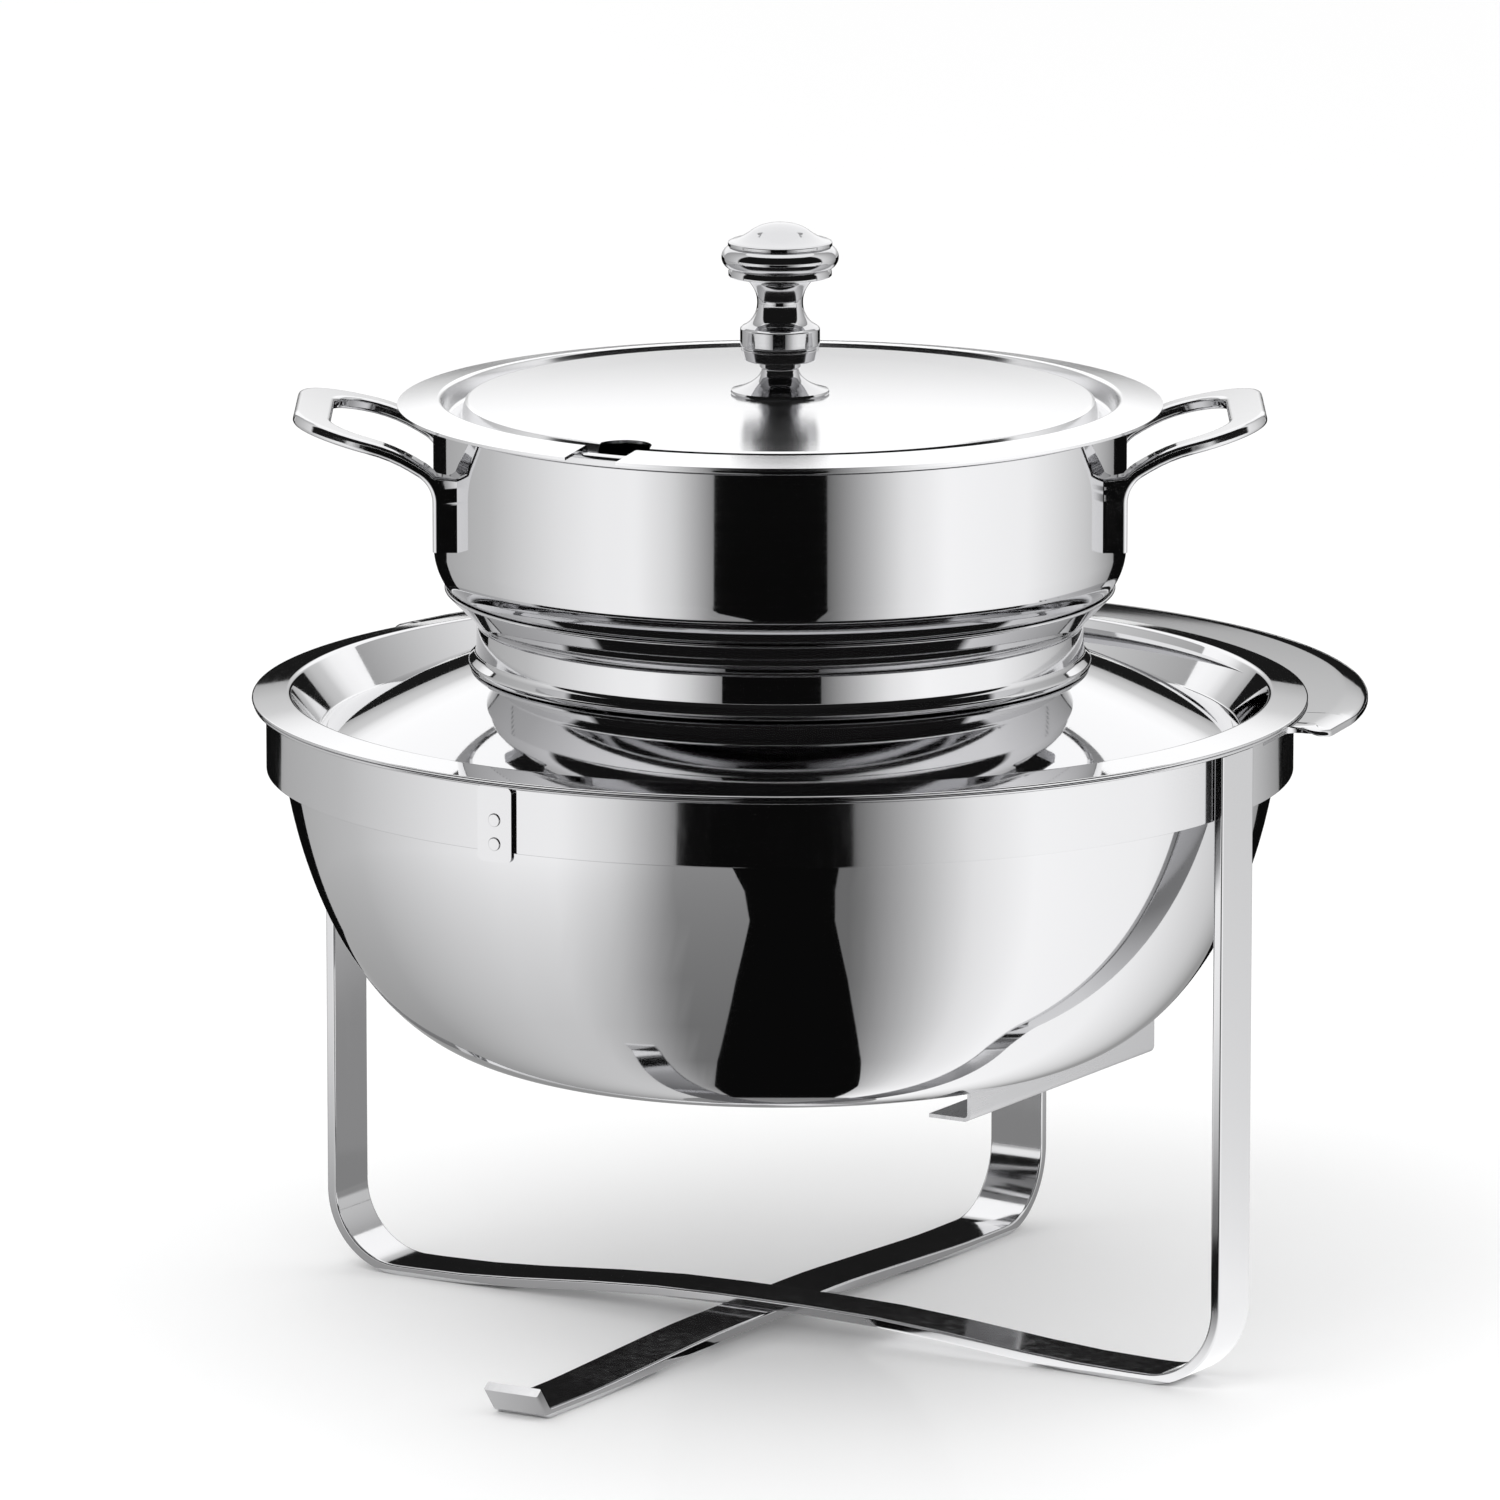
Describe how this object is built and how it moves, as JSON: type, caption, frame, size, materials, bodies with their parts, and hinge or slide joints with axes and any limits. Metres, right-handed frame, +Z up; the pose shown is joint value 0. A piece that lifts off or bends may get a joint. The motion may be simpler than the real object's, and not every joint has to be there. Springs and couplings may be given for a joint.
{
  "type": "round soup chafing dish",
  "caption": "Round chafing dish: bar stand, water basin, ring cover with collar, lift-out soup pot with loop handles and a slotted lid with a turned knob.",
  "frame": {"origin": "on the table under the middle of the whole outline; the round pieces share a vertical axis 19.2 mm in front of it", "axes": "+Z up, -Y towards the open front of the stand, +Y towards the rear leg and the landing"},
  "size_m": [0.4262, 0.4496, 0.4375],
  "materials": {
    "frame_steel": "polished stainless flat bar with satin cut edges",
    "rivet_steel": "polished rivet heads",
    "basin_steel": "mirror-polished spun stainless",
    "rail_steel": "satin folded sheet",
    "cover_steel": "mirror-polished spun stainless",
    "collar_steel": "mirror-polished spun stainless",
    "tureen_steel": "mirror-polished outside, satin inside",
    "handle_steel": "polished casting",
    "lid_steel": "mirror-polished spun stainless",
    "knob_steel": "polished turning",
    "fastener_steel": "plain machine finish"
  },
  "bodies": {
    "stand": {"support_ring": "frame_steel", "cross_leg": "frame_steel", "rear_leg": "frame_steel", "cross_rivet": "rivet_steel", "front_tab": "frame_steel", "tab_rivets": "rivet_steel"},
    "basin": {"water_basin": "basin_steel", "burner_rail_left": "rail_steel", "burner_rail_right": "rail_steel"},
    "cover": {"ring_cover": "cover_steel", "collar": "collar_steel"},
    "pot": {"tureen": "tureen_steel", "handle_left": "handle_steel", "handle_right": "handle_steel"},
    "lid_set": {"lid": "lid_steel", "knob_base": "knob_steel", "knob_spacer": "knob_steel", "knob_head": "knob_steel", "knob_washer": "fastener_steel", "knob_stud": "fastener_steel"}
  },
  "joints": [
    {"name": "basin_lift", "type": "slide", "parent": "stand", "child": "basin", "axis": [0, 0, 1], "range_m": [0, 0.16]},
    {"name": "cover_lift", "type": "slide", "parent": "basin", "child": "cover", "axis": [0, 0, 1], "range_m": [0, 0.06]},
    {"name": "pot_lift", "type": "slide", "parent": "cover", "child": "pot", "axis": [0, 0, 1], "range_m": [0, 0.1]},
    {"name": "lid_lift", "type": "slide", "parent": "pot", "child": "lid_set", "axis": [0, 0, 1], "range_m": [0, 0.12]}
  ]
}
